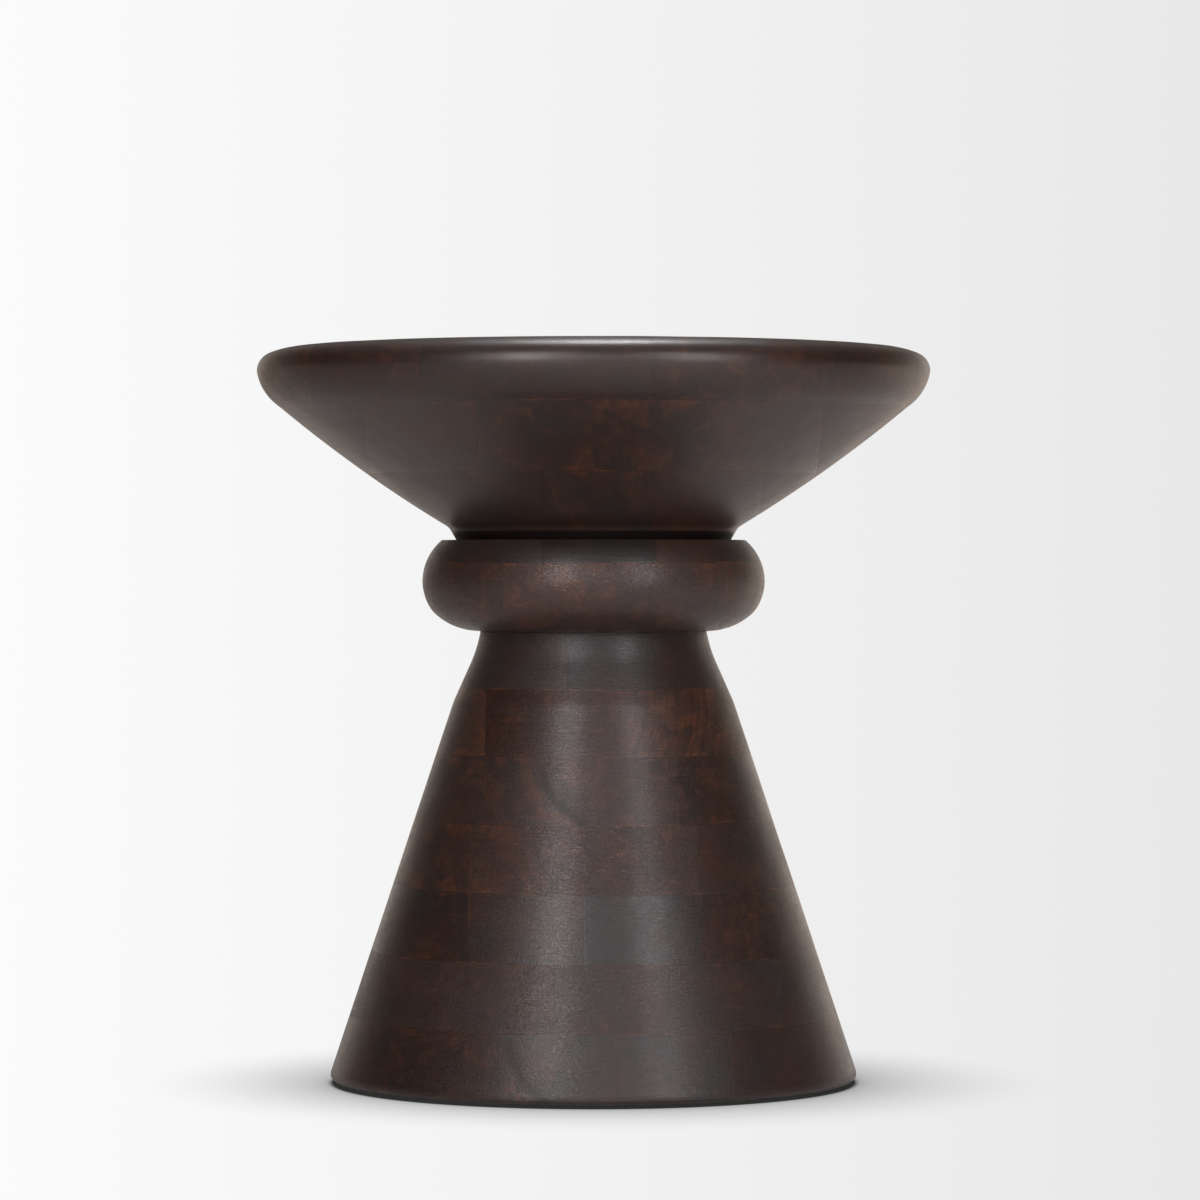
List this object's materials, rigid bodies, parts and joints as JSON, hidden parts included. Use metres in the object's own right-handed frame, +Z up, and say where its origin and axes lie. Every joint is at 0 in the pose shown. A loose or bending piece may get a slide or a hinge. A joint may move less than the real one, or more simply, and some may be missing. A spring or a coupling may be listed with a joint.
{
  "type": "pedestal accent table",
  "caption": "Round pedestal accent table of laminated dark hardwood: conical base, beaded collar and dished underside to a wide round top.",
  "frame": {"origin": "on the floor, on the axis of the table", "axes": "+Z up along the table's axis; boards and grain run along Y, and the view of the picture looks along +Y with +X to the right"},
  "size_m": [0.459, 0.459, 0.5],
  "materials": {
    "stained_hardwood": "dark brown stain under satin lacquer, turned and sanded",
    "plain_dowel_wood": "unfinished, sealed inside the table",
    "felt": "pressed felt"
  },
  "bodies": {
    "root": {"base_course_2_board_1": "stained_hardwood", "base_course_2_board_2": "stained_hardwood", "base_course_2_board_3": "stained_hardwood", "base_course_2_board_4": "stained_hardwood", "base_course_2_board_5": "stained_hardwood", "base_course_3_board_1": "stained_hardwood", "base_course_3_board_2": "stained_hardwood", "base_course_3_board_3": "stained_hardwood", "base_course_3_board_4": "stained_hardwood", "base_course_4_board_1": "stained_hardwood", "base_course_4_board_2": "stained_hardwood", "base_course_4_board_3": "stained_hardwood", "base_course_4_board_4": "stained_hardwood", "base_course_5_board_1": "stained_hardwood", "base_course_5_board_2": "stained_hardwood", "base_course_5_board_3": "stained_hardwood", "base_course_6_board_1": "stained_hardwood", "base_course_6_board_2": "stained_hardwood", "base_course_6_board_3": "stained_hardwood", "centre_dowel": "plain_dowel_wood", "collar_lower_board_1": "stained_hardwood", "collar_lower_board_2": "stained_hardwood", "collar_lower_board_3": "stained_hardwood", "collar_lower_board_4": "stained_hardwood", "collar_upper_board_1": "stained_hardwood", "collar_upper_board_2": "stained_hardwood", "collar_upper_board_3": "stained_hardwood", "felt_pads": "felt", "foot_course_board_1": "stained_hardwood", "foot_course_board_2": "stained_hardwood", "foot_course_board_3": "stained_hardwood", "foot_course_board_4": "stained_hardwood", "foot_course_board_5": "stained_hardwood", "neck_course_board_1": "stained_hardwood", "neck_course_board_2": "stained_hardwood", "neck_course_board_3": "stained_hardwood", "neck_locating_dowels": "plain_dowel_wood", "tabletop_board_1": "stained_hardwood", "tabletop_board_2": "stained_hardwood", "tabletop_board_3": "stained_hardwood", "tabletop_board_4": "stained_hardwood", "tabletop_board_5": "stained_hardwood", "tabletop_board_6": "stained_hardwood", "tabletop_board_7": "stained_hardwood", "throat_locating_dowels": "plain_dowel_wood", "top_lower_board_1": "stained_hardwood", "top_lower_board_2": "stained_hardwood", "top_lower_board_3": "stained_hardwood", "top_lower_board_4": "stained_hardwood", "top_lower_board_5": "stained_hardwood", "top_middle_board_1": "stained_hardwood", "top_middle_board_2": "stained_hardwood", "top_middle_board_3": "stained_hardwood", "top_middle_board_4": "stained_hardwood", "top_middle_board_5": "stained_hardwood", "top_middle_board_6": "stained_hardwood"}
  },
  "joints": []
}
